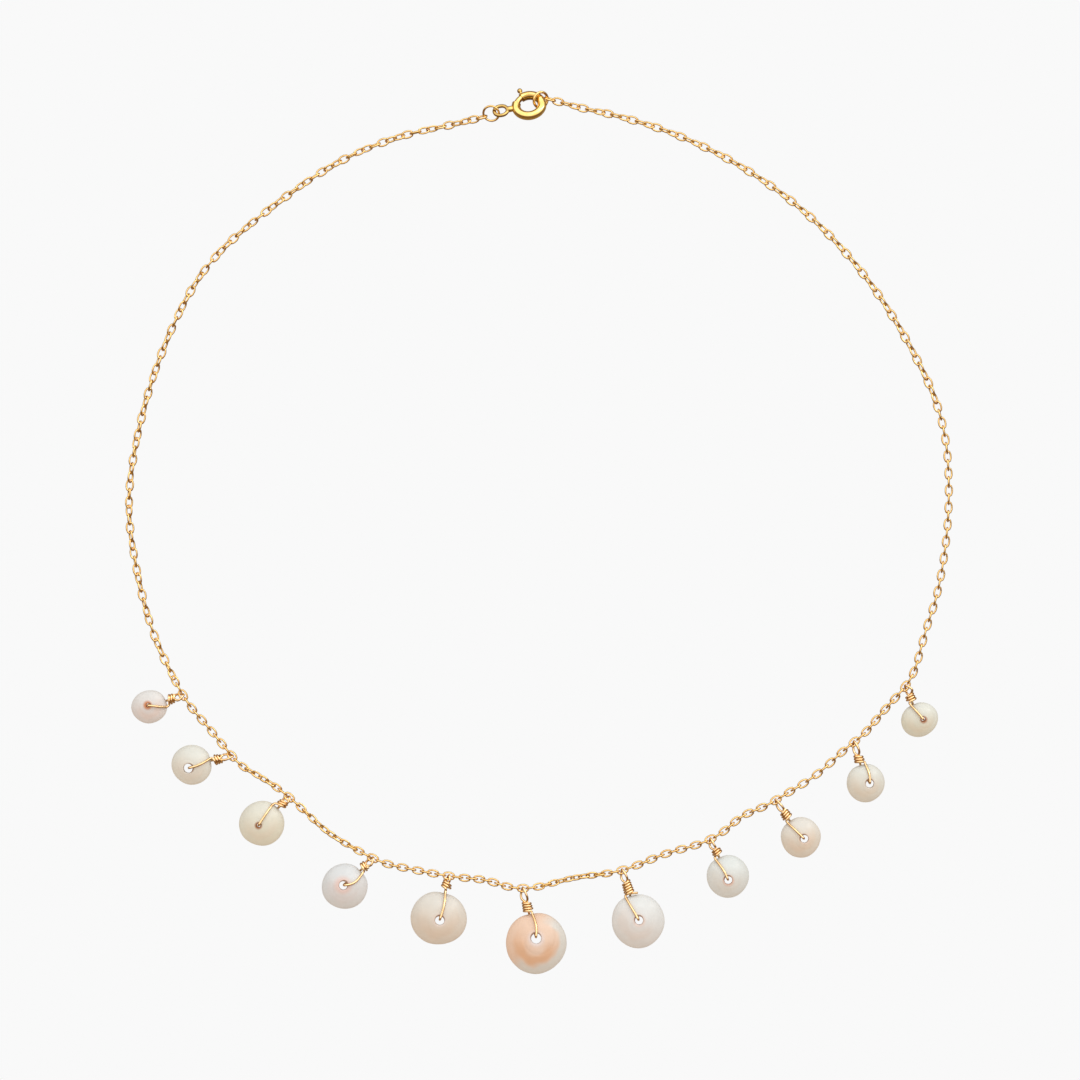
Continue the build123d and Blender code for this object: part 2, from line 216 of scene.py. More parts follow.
# Wires, in millimetres and degrees. Sideways is to the left, looking from the chain towards the shell.
WRAP_WIRE = 0.38
WRAP_PITCH = 0.42
WRAP_CORNERS = 8
COIL_NARROW = 0.60
COIL_WIDE = 0.74
COIL_UNEVEN = 0.03
COIL_WAVES = 5
COIL_SHIFT = 7
COIL_START = 0.9
FARTHEST_START = 0.95
RIM_GAP = 0.27
UNDER_RIM = 0.05
STRAND_GAP = 0.01
STRAND_SHARE = 0.4
SHELL_GAP = 0.07
LEG_GAP = 0.02
LEG_STEPS = 5
BEND_SWING = 0.2
TAIL_OUT = 0.2
TAIL_SIDE = 0.5
TAIL_RISES = (0.75, 0.55)

# Loop of a wire: where it is between the chain and the coil, its share of half the loop's width, and how far
# it has turned upright. It stands upright where it holds the chain's link and lies flatter near the coil.
LOOP_SIDES = ((0.78, 0.85, 0.0), (0.46, 1.10, 0.35))
LOOP_TIP = (-0.12, 0.55, 1.0)
UPRIGHT = 80.0

# Wires from the left: turns of the coil, the loop's width, turn and lean, where the leg ends on the rim and
# how far it bows, the coil's slant, and how far a cut end stands out
Wrap = namedtuple("Wrap", "turns loop_width loop_turn loop_lean leg_end leg_bow slant tail")
WRAPS = [
    Wrap(2.4, 1.55, 42.0, 0.10, 1.00, 0.00, 0.15, 0.0),
    Wrap(2.8, 1.45, 46.0, -0.10, -0.40, 0.25, 0.15, 0.0),
    Wrap(2.2, 1.55, 44.0, 0.00, -1.05, 0.00, 0.22, 0.0),
    Wrap(2.0, 1.50, 44.0, 0.15, 0.50, 0.60, 0.15, 0.0),
    Wrap(2.4, 1.20, 60.0, 0.05, 0.05, 0.25, 0.20, 0.0),
    Wrap(3.6, 1.55, 42.0, -0.20, 0.50, 0.35, 0.05, 0.0),
    Wrap(4.5, 1.55, 46.0, -0.10, -0.80, 0.05, 0.12, 1.3),
    Wrap(2.2, 1.35, 50.0, -0.30, -0.70, 0.20, 0.15, 0.0),
    Wrap(3.2, 1.35, 50.0, -0.10, -0.50, 0.05, 0.15, 0.0),
    Wrap(2.8, 1.45, 48.0, -0.05, 0.75, 0.25, 0.08, 0.0),
    Wrap(2.4, 1.50, 42.0, 0.30, -0.50, 0.05, 0.00, 0.0),
]

# Route of the chain from the right of the clasp round to its left
LOW = LYING_HEIGHT
HIGH = NECK_HEIGHT
ROUTE = [
    (6.5, 69.0, LOW),
    (12.7, 67.8, LOW),
    (22.2, 64.9, LOW),
    (33.0, 59.7, LOW),
    (43.8, 52.0, LOW),
    (52.8, 42.4, LOW),
    (60.1, 31.2, LOW),
    (66.1, 18.5, LOW),
    (67.0, 4.4, LOW),
    (65.3, -9.0, LOW),
    (62.9, -16.0, LOW),
    (61.0, -23.5, HIGH),
    (58.3, -26.7, HIGH),
    (55.5, -29.8, LOW),
    (52.9, -33.0, HIGH),
    (49.7, -35.4, HIGH),
    (45.3, -39.6, LOW),
    (40.3, -42.6, HIGH),
    (36.8, -44.7, HIGH),
    (32.9, -46.2, LOW),
    (29.8, -49.1, HIGH),
    (26.1, -50.9, HIGH),
    (20.6, -52.3, LOW),
    (15.5, -54.5, HIGH),
    (11.6, -55.6, HIGH),
    (5.6, -56.2, LOW),
    (-0.6, -58.0, HIGH),
    (-4.6, -58.0, HIGH),
    (-8.6, -56.6, LOW),
    (-12.6, -56.3, HIGH),
    (-16.7, -55.7, HIGH),
    (-20.9, -54.9, LOW),
    (-25.2, -54.0, HIGH),
    (-28.9, -52.2, HIGH),
    (-34.5, -49.0, LOW),
    (-39.1, -44.5, HIGH),
    (-42.2, -41.9, HIGH),
    (-45.3, -39.9, LOW),
    (-48.7, -38.0, HIGH),
    (-51.2, -35.0, HIGH),
    (-54.0, -31.6, LOW),
    (-56.9, -28.3, HIGH),
    (-59.0, -24.8, HIGH),
    (-62.6, -17.4, LOW),
    (-65.1, -8.8, LOW),
    (-67.3, 4.4, LOW),
    (-65.0, 18.4, LOW),
    (-60.8, 31.4, LOW),
    (-54.4, 43.7, LOW),
    (-44.1, 52.6, LOW),
    (-32.9, 60.4, LOW),
    (-22.8, 64.5, LOW),
    (-14.3, 66.2, LOW),
]
LAST_CARRIER = 41
POINTS_PER_SHELL = 3

# Fineness of the smooth lines, and the bump and the camera straight above in metres
ROUTE_FINENESS = 48
WIRE_FINENESS = 5
BUMP_DISTANCE = 0.00001
CAMERA_PLACE = (0.000156, -0.001330, 1.0018)
CAMERA_LENS = 205.0


# Placing and finishing of pieces
def turned(axis, degrees):
    return Matrix.Rotation(radians(degrees), 4, axis)


def moved(x, y, z):
    return Matrix.Translation((x, y, z))


def apply_modifiers(piece):
    bpy.context.view_layer.objects.active = piece
    for modifier in list(piece.modifiers):
        bpy.ops.object.modifier_apply(modifier=modifier.name)


def settle(piece, body, finish, slot, *nodes):
    """Finished and riding on its body, in place of the plain nodes."""
    piece.data.materials.clear()
    piece.data.materials.append(finish)
    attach(piece, body)
    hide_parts(*nodes)


def add_piece(mesh, finish, slot, node):
    """A mesh as a smooth piece of the necklace, in place of a plain node."""
    mesh.shade_smooth()
    piece = bpy.data.objects.new(mesh.name, mesh)
    bpy.context.collection.objects.link(piece)
    settle(piece, "necklace", finish, slot, node)


def spline_mesh(points, fineness, radius=0.0):
    """The smooth line along control points as a mesh: bare, or a round bar with closed ends."""
    curve = bpy.data.curves.new("spline", "CURVE")
    curve.dimensions = "3D"
    if radius:
        curve.bevel_depth = radius
        curve.bevel_resolution = 3
        curve.use_fill_caps = True
    spline = curve.splines.new("NURBS")
    spline.points.add(len(points) - 1)
    for control, point in zip(spline.points, points):
        control.co = (*point, 1.0)
    spline.order_u = 3
    spline.use_endpoint_u = True
    spline.resolution_u = fineness
    holder = bpy.data.objects.new("spline", curve)
    bpy.context.collection.objects.link(holder)
    mesh = bpy.data.meshes.new_from_object(holder)
    bpy.data.objects.remove(holder)
    bpy.data.curves.remove(curve)
    return mesh


# Node helpers
def add(nodes, kind, **values):
    node = nodes.new(kind)
    for name, value in values.items():
        setattr(node, name, value)
    return node


def feed(tree, socket, value):
    """Link a socket to another one, or set it to a number or a colour."""
    if isinstance(value, bpy.types.NodeSocket):
        tree.links.new(value, socket)
    else:
        socket.default_value = value


def number(tree, operation, *inputs, clamp=False):
    """A Math node; each input is a socket or a number."""
    node = add(tree.nodes, "ShaderNodeMath", operation=operation, use_clamp=clamp)
    for socket, value in zip(node.inputs, inputs):
        feed(tree, socket, value)
    return node.outputs[0]


def smooth(tree, value, low, high, start=0.0, end=1.0):
    """Smooth step of a socket between two values."""
    node = add(tree.nodes, "ShaderNodeMapRange", interpolation_type="SMOOTHSTEP")
    tree.links.new(value, node.inputs["Value"])
    for name, amount in (("From Min", low), ("From Max", high), ("To Min", start), ("To Max", end)):
        node.inputs[name].default_value = amount
    return node.outputs[0]


def blend_colour(tree, share, first, second):
    """A Mix node for colours; each colour is a socket or four numbers."""
    node = add(tree.nodes, "ShaderNodeMix", data_type="RGBA")
    feed(tree, node.inputs[0], share)
    feed(tree, node.inputs[6], first)
    feed(tree, node.inputs[7], second)
    return node.outputs[2]


def new_group(name, inputs, outputs):
    """Shader node group with named sockets."""
    group = bpy.data.node_groups.new(name, "ShaderNodeTree")
    for direction, sockets in (("INPUT", inputs), ("OUTPUT", outputs)):
        for label, kind in sockets:
            group.interface.new_socket(label, in_out=direction, socket_type=kind)
    return group, add(group.nodes, "NodeGroupInput").outputs, add(group.nodes, "NodeGroupOutput").inputs


def new_finish(name):
    material = bpy.data.materials.new(name)
    material.use_nodes = True
    return material, material.node_tree, material.node_tree.nodes["Principled BSDF"]


def add_bump(tree, surface, height, strength):
    bump = add(tree.nodes, "ShaderNodeBump")
    bump.inputs["Strength"].default_value = strength
    bump.inputs["Distance"].default_value = BUMP_DISTANCE
    tree.links.new(height, bump.inputs["Height"])
    tree.links.new(bump.outputs[0], surface.inputs["Normal"])


# Finishes
def from_centre(tree, centre, turn=(0.0, 0.0, 0.0)):
    """Place on a piece in millimetres, seen from its own middle."""
    coordinates = add(tree.nodes, "ShaderNodeTexCoord")
    mapping = add(tree.nodes, "ShaderNodeMapping", vector_type="TEXTURE")
    mapping.inputs["Location"].default_value = centre * MM
    mapping.inputs["Rotation"].default_value = turn
    mapping.inputs["Scale"].default_value = (MM, MM, MM)
    tree.links.new(coordinates.outputs["Object"], mapping.inputs["Vector"])
    return mapping.outputs[0]


def make_growth():
    """Worn shell: body, a side painted paler as painted light, paler outer edge, whorl band that also paints
    warm shade on the lower side, core round the hole with painted shade in it on some shells, and painted
    shade on its lip.
    """
    vectors = ("Place", "Hole", "Lip place", "Pale way", "Outer way", "Band way")
    colours = ("Body", "Pale", "Band", "Core")
    amounts = ("Radius", "Lit side strength", "Outer strength", "Band strength", "Core width", "Lip")
    group, given, result = new_group(
        "shell_growth",
        [(label, "NodeSocketVector") for label in vectors]
        + [(label, "NodeSocketColor") for label in colours]
        + [(label, "NodeSocketFloat") for label in amounts],
        [("Colour", "NodeSocketColor"), ("Height", "NodeSocketFloat"), ("Gloss", "NodeSocketFloat")],
    )
    link = group.links.new

    def texture(scale, detail):
        noise_node = add(group.nodes, "ShaderNodeTexNoise")
        noise_node.inputs["Scale"].default_value = scale
        noise_node.inputs["Detail"].default_value = detail
        link(given["Place"], noise_node.inputs["Vector"])
        return noise_node.outputs["Fac"]

    def vector(operation, first, second=None):
        node = add(group.nodes, "ShaderNodeVectorMath", operation=operation)
        link(first, node.inputs[0])
        if second:
            link(second, node.inputs[1])
        return node.outputs["Value" if operation in ("DOT_PRODUCT", "LENGTH") else "Vector"]

    def times(first, second, clamp=False):
        return number(group, "MULTIPLY", first, second, clamp=clamp)

    def uneven(value):
        return number(group, "ADD", value, wobble)

    def facing(label):
        return uneven(vector("DOT_PRODUCT", heading, given[label]))

    flatten = add(group.nodes, "ShaderNodeVectorMath", operation="MULTIPLY")
    link(given["Place"], flatten.inputs[0])
    flatten.inputs[1].default_value = (1.0, 1.0, 0.0)
    flat = flatten.outputs["Vector"]
    heading = vector("NORMALIZE", flat)
    wobble = times(number(group, "SUBTRACT", texture(0.35, 1.0), 0.5), EDGE_WOBBLE)
    share = uneven(number(group, "DIVIDE", vector("LENGTH", flat), given["Radius"]))

    # Painted light: paler towards the lit side's way, which on most shells is the upper side where the light
    # falls.
    across = number(group, "DIVIDE", vector("DOT_PRODUCT", flat, given["Pale way"]), given["Radius"])
    pale = times(smooth(group, uneven(across), *LIT_SIDE_SPAN), given["Lit side strength"])
    colour = blend_colour(group, pale, given["Body"], given["Pale"])
    outer = times(smooth(group, facing("Outer way"), *OUTER_WAYS), smooth(group, share, *OUTER_SPAN))
    colour = blend_colour(group, times(outer, given["Outer strength"]), colour, given["Pale"])
    # The whorl band is the shell's own, and its way turns it to the lower side of each shell, so it also
    # paints warm shade there.
    whorl = times(smooth(group, share, *BAND_INSIDE), smooth(group, share, *BAND_OUTSIDE))
    band = times(whorl, smooth(group, facing("Band way"), *BAND_WAYS))
    band = times(band, given["Band strength"], clamp=True)
    colour = blend_colour(group, band, colour, given["Band"])
    # Core round the hole: the shell's own pinker ring on most shells, and on the first, third and last a
    # browner painted shade in and round the hole, where the wire fills it.
    beside = vector("LENGTH", vector("SUBTRACT", flat, given["Hole"]))
    core = smooth(group, number(group, "DIVIDE", beside, given["Core width"]), *CORE_SPAN)
    colour = blend_colour(group, core, colour, given["Core"])
    # Painted shade on the lip of the hole, on the wire's side.
    near = vector("LENGTH", vector("SUBTRACT", flat, given["Lip place"]))
    lip = smooth(group, number(group, "SUBTRACT", near, given["Lip"]), *LIP_SPAN, 0.0, LIP_SHADE_STRENGTH)
    colour = blend_colour(group, lip, colour, tint(*LIP_SHADE_COLOUR))

    speckle = smooth(group, texture(1.0, 2.0), 0.25, 0.8, *SPECKLE)
    grown = add(group.nodes, "ShaderNodeVectorMath", operation="SCALE")
    link(colour, grown.inputs[0])
    link(speckle, grown.inputs["Scale"])
    link(grown.outputs["Vector"], result["Colour"])
    rings = number(group, "SINE", times(share, RING_COUNT))
    pits = texture(1.2, 0.0)
    link(number(group, "ADD", times(rings, RING_HEIGHT), pits), result["Height"])
    link(smooth(group, texture(1.1, 3.0), 0.3, 0.7), result["Gloss"])
    return group


def flat_way(degrees):
    """Way in the plane of the surface, as a vector."""
    return (cos(radians(degrees)), sin(radians(degrees)), 0.0)


def tint(red, green, blue):
    """Colour as it is seen on a screen, from 0 to 255, as the linear one that a shader takes."""
    return tuple(((share / 255 + 0.055) / 1.055) ** 2.4 for share in (red, green, blue)) + (1.0,)


def shell_finish(index, growth):
    """Silky worn shell with its own colours."""
    drop = DROPS[index]
    look = SHELL_LOOKS[index]
    material, tree, surface = new_finish(f"shell_{index + 1:02d}_look")
    place = drop_place(index) @ shell_place(drop)
    hole = place @ Vector((drop.out, drop.side, drop.height)) - place.translation
    lip = hole - turned("Z", drop.heading) @ Vector((LIP_BACK, 0, 0))
    grown = add(tree.nodes, "ShaderNodeGroup", node_tree=growth)
    tree.links.new(from_centre(tree, place.translation), grown.inputs["Place"])
    for label, value in (
        ("Hole", (hole.x, hole.y, 0.0)), ("Lip place", (lip.x, lip.y, 0.0)), ("Lip", drop.hole / 2),
        ("Pale way", flat_way(look.pale_way)), ("Lit side strength", look.pale_share),
        ("Outer way", flat_way(look.outer_way)), ("Outer strength", look.outer),
        ("Band way", flat_way(look.band_way)), ("Band strength", look.strength),
        ("Core width", look.core_width), ("Radius", drop.width / 2),
        ("Body", tint(*look.body)), ("Pale", tint(*look.pale)), ("Band", tint(*look.band)),
        ("Core", tint(*look.core)),
    ):
        grown.inputs[label].default_value = value
    tree.links.new(grown.outputs["Colour"], surface.inputs["Base Color"])
    tree.links.new(smooth(tree, grown.outputs["Gloss"], 0.0, 1.0, 0.34, 0.46), surface.inputs["Roughness"])
    add_bump(tree, surface, grown.outputs["Height"], 0.08)
    surface.inputs["Specular IOR Level"].default_value = 0.50
    surface.inputs["Coat Weight"].default_value = 0.20
    surface.inputs["Coat Roughness"].default_value = 0.25
    return material


def make_wear():
    """Fine rubbing and drawing marks on gold."""
    group, given, result = new_group(
        "fine_wear",
        [("Place", "NodeSocketVector"), ("Colour", "NodeSocketColor"), ("Tarnish", "NodeSocketColor"),
         ("Low", "NodeSocketFloat"), ("High", "NodeSocketFloat")],
        [("Colour", "NodeSocketColor"), ("Roughness", "NodeSocketFloat"), ("Height", "NodeSocketFloat")],
    )
    link = group.links.new
    soft = add(group.nodes, "ShaderNodeTexNoise")
    soft.inputs["Scale"].default_value = 900.0
    soft.inputs["Detail"].default_value = 4.0
    fine = add(group.nodes, "ShaderNodeTexNoise")
    fine.inputs["Scale"].default_value = 9000.0
    fine.inputs["Detail"].default_value = 2.0
    for texture in (soft, fine):
        link(given["Place"], texture.inputs["Vector"])
    rubbed = smooth(group, soft.outputs["Fac"], *WORN_SPAN)
    dulled = number(group, "MULTIPLY", rubbed, TARNISH_SHARE)
    link(blend_colour(group, dulled, given["Colour"], given["Tarnish"]), result["Colour"])
    span = number(group, "SUBTRACT", given["High"], given["Low"])
    link(number(group, "ADD", given["Low"], number(group, "MULTIPLY", span, rubbed)), result["Roughness"])
    link(fine.outputs["Fac"], result["Height"])
    return group


def gold_finish(name, wear, gold):
    """Worn gold of a colour of its own."""
    material, tree, surface = new_finish(name)
    coordinates = add(tree.nodes, "ShaderNodeTexCoord")
    marks = add(tree.nodes, "ShaderNodeGroup", node_tree=wear)
    tree.links.new(coordinates.outputs["Object"], marks.inputs["Place"])
    marks.inputs["Colour"].default_value = (*gold.colour, 1.0)
    marks.inputs["Tarnish"].default_value = (*gold.tarnish, 1.0)
    marks.inputs["Low"].default_value = gold.low
    marks.inputs["High"].default_value = gold.high
    tree.links.new(marks.outputs["Colour"], surface.inputs["Base Color"])
    tree.links.new(marks.outputs["Roughness"], surface.inputs["Roughness"])
    add_bump(tree, surface, marks.outputs["Height"], 0.15)
    surface.inputs["Metallic"].default_value = 1.0
    return material


def paint_clasp_shade(material):
    """Painted shade on the soldered ear where the jump ring lies over it, and a painted dark reflection on
    the inner side of the ring beside the knob, as darker gold.
    """
    tree = material.node_tree
    surface = tree.nodes["Principled BSDF"]
    place = clasp_place()
    split = add(tree.nodes, "ShaderNodeSeparateXYZ")
    tree.links.new(from_centre(tree, place.translation, place.to_euler()), split.inputs[0])
    across, up = split.outputs[0], split.outputs[1]
    squares = number(tree, "ADD", number(tree, "MULTIPLY", across, across), number(tree, "MULTIPLY", up, up))
    away = number(tree, "SQRT", squares)
    # Painted shade on the ear and a painted dark reflection on the ring's inner side beside the knob.
    ear = smooth(tree, away, *EAR_SHADE_SPAN, 0.0, 0.60)
    inside = smooth(tree, away, *INSIDE_SHADE_SPAN, 0.0, 0.85)
    inside = number(tree, "MULTIPLY", inside, smooth(tree, up, *KNOB_SIDE))
    painted_shade = number(tree, "MAXIMUM", ear, inside)
    polished = surface.inputs["Base Color"].links[0].from_socket
    tree.links.new(blend_colour(tree, painted_shade, polished, PAINTED_SHADE_GOLD), surface.inputs["Base Color"])


# Places
def clasp_place():
    return moved(*CLASP_CENTRE) @ turned("Z", CLASP_TURN) @ turned("X", -CLASP_TILT)


def jump_ring_place():
    ring = JUMP_RING
    tip = (clasp_place() @ moved(-EAR_TIP, 0, 0)).translation
    offset = (ring.width - ring.wire) / 2 - (EAR_WIRE + ring.wire) / 2 - ring.slack
    slope = turned("Z", CLASP_TURN + 180 + JUMP_RING_TURN) @ turned("Y", ring.slope) @ turned("X", -ring.lean)
    return moved(*tip) @ slope @ moved(offset, 0, 0)


def end_ring_place():
    ring = END_RING
    tube = clasp_place() @ turned("Z", END_RING_PLACE) @ moved(RING_RADIUS, 0, 0)
    offset = (ring.width - ring.wire) / 2 - (CLASP_TUBE + ring.wire) / 2 - ring.slack
    return tube @ turned("Y", ring.slope) @ turned("X", 90 - ring.lean) @ moved(offset, 0, 0)


def end_link(ring_place, ring, neighbour):
    """Middle, way along and normal of the last link, which holds a ring."""
    ring_side = (ring_place @ moved((ring.width - ring.wire) / 2, 0, 0)).translation
    ring_way = (ring_place @ moved((ring.width - ring.wire) / 2, 1, 0)).translation - ring_side
    along = (neighbour - ring_side).normalized()
    reach = (LINK_LENGTH - LINK_WIRE) / 2 - (ring.wire + LINK_WIRE) / 2 - LINK_SLACK
    normal = (ring_way - along * ring_way.dot(along)).normalized()
    return ring_side + along * reach, along, normal


def shell_place(drop):
    """The far rim rests on the surface and the near one is at the height of the wire's neck."""
    span = drop.width - RIM_ROUND - RIM_THICKNESS / 2
    rise = RIM_THICKNESS / 2 - RIM_ROUND
    tilt = asin((NECK_HEIGHT - RIM_ROUND) / hypot(span, rise)) - atan2(rise, span)
    height = RIM_ROUND * (1 - cos(tilt)) + (drop.width / 2 - RIM_ROUND) * sin(tilt)
    return moved(drop.reach, 0, height) @ Matrix.Rotation(tilt, 4, "Y")


def carrier_middle(index):
    """Middle of the link that carries a shell."""
    start = LAST_CARRIER - POINTS_PER_SHELL * index
    return (Vector(ROUTE[start]) + Vector(ROUTE[start + 1])) / 2


def drop_place(index):
    middle = carrier_middle(index)
    return moved(middle.x, middle.y, 0) @ turned("Z", DROPS[index].heading)


# Chain
def route_line(points):
    """Points along the smooth line of the route, close together."""
    line = spline_mesh(points, ROUTE_FINENESS)
    found = [vertex.co.copy() for vertex in line.vertices]
    bpy.data.meshes.remove(line)
    return found


def distances(line):
    found = [0.0]
    for start, end in zip(line, line[1:]):
        found.append(found[-1] + (end - start).length)
    return found


def at_distance(line, run, distance):
    """Point of the line at a distance from its start."""
    distance = min(max(distance, 0.0), run[-1])
    low, high = 0, len(run) - 1
    while high - low > 1:
        middle = (low + high) // 2
        low, high = (middle, high) if run[middle] <= distance else (low, middle)
    share = (distance - run[low]) / (run[high] - run[low])
    return line[low].lerp(line[high], share)


def model_link():
    """One link of round wire with round ends, long in X and flat in XY."""
    bend = (LINK_WIDTH - LINK_WIRE) / 2
    bpy.ops.mesh.primitive_torus_add(
        major_radius=bend, minor_radius=LINK_WIRE / 2, major_segments=LINK_CORNERS,
        minor_segments=LINK_SIDES, rotation=(0, 0, pi / LINK_CORNERS),
    )
    link = bpy.context.object
    bpy.ops.object.transform_apply(location=False, rotation=True, scale=False)
    for vertex in link.data.vertices:
        towards = LINK_ROUNDNESS * cos(atan2(vertex.co.y, vertex.co.x))
        vertex.co.x += (LINK_LENGTH - LINK_WIDTH) / 2 * max(min(towards, 1.0), -1.0)
    return link


def link_stops(start, end, from_shell, to_shell):
    """Distances of a stretch's links, crowded together beside a shell."""
    crowded = [sum(CROWDED[:step]) for step in range(len(CROWDED) + 1)]
    before = crowded if from_shell else [0.0]
    after = crowded if to_shell else [0.0]
    first, last = start + before[-1], end - after[-1]
    count = max(1, -int(-(last - first) // LINK_PITCH))
    even = [first + (last - first) * step / count for step in range(1, count)]
    return [start + away for away in before] + even + [end - away for away in reversed(after)]


def link_rolls(count, start_roll, end_roll, twists, jitter):
    """Roll of each link of a stretch. The links next to its ends stand on edge against them, and the
    spare twist is shared out among the others."""
    steps = [90.0] + [twists[step % len(twists)] for step in range(count - 2)] + [90.0]
    spare = (end_roll - start_roll - sum(steps) + 90.0) % 180.0 - 90.0
    rolls = [start_roll]
    for index, step in enumerate(steps):
        extra = spare / (count - 2) if 0 < index < count - 1 else 0.0
        rolls.append(rolls[-1] + step + extra)
    for index in range(2, count - 1):
        rolls[index] += jitter.uniform(-LINK_JITTER, LINK_JITTER)
    return rolls


def carrier_stops(line, run):
    """Distances of the first link, of each link that carries a shell, and of the last link."""
    stops = [0.0]
    for index in reversed(range(len(DROPS))):
        middle = carrier_middle(index)
        nearest = min(range(len(line)), key=lambda i: (line[i] - middle).length)
        stops.append(run[nearest])
    return stops + [run[-1]]


def roll_of(way, normal):
    """Roll of a link that runs a way and faces along a normal, in degrees."""
    flat = Vector((0, 0, 1)) - way * way.z
    side = flat.cross(way)
    return atan2(-normal.dot(side), normal.dot(flat)) / pi * 180


def link_place(line, run, distance, roll):
    ahead = at_distance(line, run, distance + WAY_REACH)
    behind = at_distance(line, run, distance - WAY_REACH)
    way = (ahead - behind).normalized()
    flat = (Vector((0, 0, 1)) - way * way.z).normalized()
    place = Matrix((way, flat.cross(way), flat)).transposed().to_4x4()
    place.translation = at_distance(line, run, distance)
    return place @ turned("X", roll)


def make_chain(gold):
    """Every link, hung in the one before it along the route, as one piece for each stretch."""
    right = end_link(end_ring_place(), END_RING, Vector(ROUTE[0]))
    left = end_link(jump_ring_place(), JUMP_RING, Vector(ROUTE[-1]))
    line = route_line([right[0], *ROUTE, left[0]])
    run = distances(line)
    stops = carrier_stops(line, run)
    end_rolls = [roll_of(right[1], right[2])] + [CARRIER_ROLL] * len(DROPS) + [roll_of(-left[1], left[2])]
    jitter = Random(LINK_SEED)
    link = model_link()
    for part, (start, end) in enumerate(zip(stops, stops[1:])):
        places = link_stops(start, end, part > 0, part < len(DROPS))
        rolls = link_rolls(len(places) - 1, end_rolls[part], end_rolls[part + 1], LINK_TWISTS[part], jitter)
        points, polygons = [], []
        for step, (distance, roll) in enumerate(zip(places, rolls)):
            if part > 0 and step == 0:
                continue
            place = link_place(line, run, distance, roll)
            base = len(points)
            points += [(place @ vertex.co) * MM for vertex in link.data.vertices]
            polygons += [tuple(base + corner for corner in face.vertices) for face in link.data.polygons]
        mesh = bpy.data.meshes.new(f"chain_links_{part + 1:02d}")
        mesh.from_pydata(points, [], polygons)
        add_piece(mesh, gold, "gold_chain", "chain")
    bpy.data.objects.remove(link)


# Shells
def ball_radius(reach, rise):
    return (reach ** 2 + rise ** 2) / (2 * rise)


def ball_height(ball, top, away):
    return top - ball + sqrt(max(ball ** 2 - away ** 2, 0.0))


def shell_section(drop):
    """Outline from the lip of the hole over the crown, round the rim and back under, as (out, up)."""
    edge = drop.width / 2
    crown = ball_radius(edge, drop.height - RIM_THICKNESS)
    inner_edge = edge - RIM_WIDTH
    inner_top = drop.height - CROWN_WALL
    hollow = ball_radius(inner_edge, inner_top)
    lip = drop.hole / 2
    lip_top = ball_height(crown, drop.height, lip)
    lip_low = ball_height(hollow, inner_top, lip)
    points = []
    for step in range(CROWN_STEPS + 1):
        away = lip + HOLE_ROUND + (edge - RIM_ROUND - lip - HOLE_ROUND) * step / CROWN_STEPS
        points.append((away, ball_height(crown, drop.height, away)))
    points += [
        (edge - RIM_EASE, ball_height(crown, drop.height, edge) - RIM_DROP),
        (edge, RIM_THICKNESS / 2),
        (edge - RIM_EASE, RIM_FOOT),
        (edge - RIM_ROUND, 0.0),
        (inner_edge + RIM_INSET, 0.0),
    ]
    for step in range(HOLLOW_STEPS + 1):
        away = inner_edge - (inner_edge - lip - HOLE_ROUND) * step / HOLLOW_STEPS
        points.append((away, max(ball_height(hollow, inner_top, away), HOLLOW_FLOOR)))
    points += [(lip, lip_low + HOLE_ROUND), (lip, (lip_low + lip_top) / 2), (lip, lip_top - HOLE_ROUND)]
    return points


def worn(drop, look, seed, x, y, z):
    """Where a point of a lathe-turned shell ends up on the worn, uneven one."""
    edge = drop.width / 2
    inner_edge = edge - RIM_WIDTH
    inner_top = drop.height - CROWN_WALL
    crown = ball_radius(edge, drop.height - RIM_THICKNESS)
    hollow = ball_radius(inner_edge, inner_top)

    def walls(away):
        return ball_height(hollow, inner_top, min(away, inner_edge)), ball_height(crown, drop.height, away)

    away = hypot(x, y)
    low_old, top_old = walls(away)
    spread = min(max((edge - away) / (edge - drop.hole / 2), 0.0), 1.0)
    upper = min(max((z - low_old) / max(top_old - low_old, THINNEST_WALL), 0.0), 1.0)
    x += drop.out * spread
    y += drop.side * spread
    away = hypot(x, y)
    low_new, top_new = walls(away)
    z += (top_new - top_old) * upper + (low_new - low_old) * (1 - upper)
    angle = atan2(y, x)
    outline = sum(size * cos(count * angle + turn * seed) for count, size, turn in LOBES)
    neck = exp(-((abs(angle) - pi) / NECK_DENT_WIDTH) ** 2)
    stretch = 1 + (outline - NECK_DENT * neck) * (away / edge) ** 2
    return Vector((x * stretch * look.outwards, y * stretch * look.sideways, z))


def carve_spiral(drop, seed, x, y, depth):
    """Depth of the spiral groove that winds out from the hole."""
    edge = drop.width / 2
    x, y = x - drop.out, y - drop.side
    turn = atan2(y, x) / tau + seed
    share = (hypot(x, y) - drop.hole / 2) / (edge - drop.hole / 2)
    phase = share * GROOVE_TURNS - turn
    groove = abs(phase - round(phase))
    fade = min(max(share * GROOVE_FADE, 0.0), 1.0) * min(max((GROOVE_END - share) * GROOVE_FADE, 0.0), 1.0)
    return depth * fade * exp(-(groove / GROOVE_WIDTH) ** 2)


